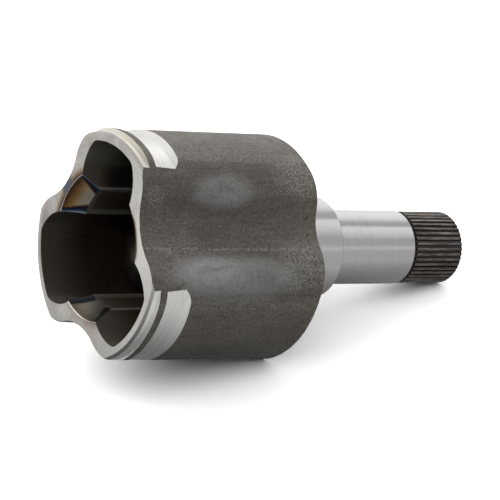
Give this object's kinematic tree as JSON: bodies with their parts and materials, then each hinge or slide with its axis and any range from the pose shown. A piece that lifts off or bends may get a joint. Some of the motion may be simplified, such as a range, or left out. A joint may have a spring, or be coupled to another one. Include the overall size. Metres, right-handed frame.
{
  "type": "tripod constant-velocity joint",
  "caption": "Inner constant-velocity joint: lobed housing with ribs, tracks, turned boot seat and splined stub shaft, around a spider whose arms carry needle-borne rollers.",
  "frame": {"origin": "centre of the shoulder face at the start of the ground journal", "axes": "+X along the shaft axis from the mouth towards the splined end, +Z through one lobe and its track"},
  "size_m": [0.1458, 0.076, 0.0728],
  "materials": {
    "forged_steel": "dark forged and phosphated skin, with turned rim, boot seat, collar and ground journal in bright satin steel",
    "spider_steel": "case-hardened and oiled, dark forged hub with ground arms",
    "roller_steel": "ground and polished bearing steel under a film of dark grease",
    "needle_steel": "polished bearing steel",
    "washer_steel": "stamped and hardened steel",
    "spring_steel": "blackened spring steel"
  },
  "bodies": {
    "housing": {"housing": "forged_steel"},
    "needle_set_1": {"needle_set_1": "needle_steel"},
    "spider": {"tripod_spider": "spider_steel", "inner_washer_1": "washer_steel", "outer_washer_1": "washer_steel", "inner_washer_2": "washer_steel", "outer_washer_2": "washer_steel", "inner_washer_3": "washer_steel", "outer_washer_3": "washer_steel", "snap_ring_1": "spring_steel", "snap_ring_2": "spring_steel", "snap_ring_3": "spring_steel"},
    "roller_1": {"roller_1": "roller_steel"},
    "roller_2": {"roller_2": "roller_steel"},
    "roller_3": {"roller_3": "roller_steel"},
    "needle_set_2": {"needle_set_2": "needle_steel"},
    "needle_set_3": {"needle_set_3": "needle_steel"}
  },
  "joints": [
    {"name": "plunge", "type": "slide", "parent": "housing", "child": "needle_set_1", "axis": [-1, 0, 0], "range_m": [0, 0.022]},
    {"name": "articulation", "type": "hinge", "parent": "needle_set_1", "child": "spider", "pos_m": [-0.0478, 0, 0], "axis": [0, 0, 1], "range_deg": [-12, 12]},
    {"name": "roller_1_spin", "type": "hinge", "parent": "needle_set_1", "child": "roller_1", "pos_m": [-0.0478, 0, 0], "axis": [0, 0, 1], "continuous": true},
    {"name": "roller_2_spin", "type": "hinge", "parent": "spider", "child": "roller_2", "pos_m": [-0.0478, 0, 0], "axis": [0, -0.866, -0.5], "continuous": true},
    {"name": "roller_3_spin", "type": "hinge", "parent": "spider", "child": "roller_3", "pos_m": [-0.0478, 0, 0], "axis": [0, 0.866, -0.5], "continuous": true},
    {"name": "needle_set_2_orbit", "type": "hinge", "parent": "spider", "child": "needle_set_2", "pos_m": [-0.0478, 0, 0], "axis": [0, -0.866, -0.5], "continuous": true},
    {"name": "needle_set_3_orbit", "type": "hinge", "parent": "spider", "child": "needle_set_3", "pos_m": [-0.0478, 0, 0], "axis": [0, 0.866, -0.5], "continuous": true}
  ],
  "couplings": [
    {"joint": "needle_set_2_orbit", "follows": "roller_2_spin", "ratio": 0.56685},
    {"joint": "needle_set_3_orbit", "follows": "roller_3_spin", "ratio": 0.56685}
  ]
}
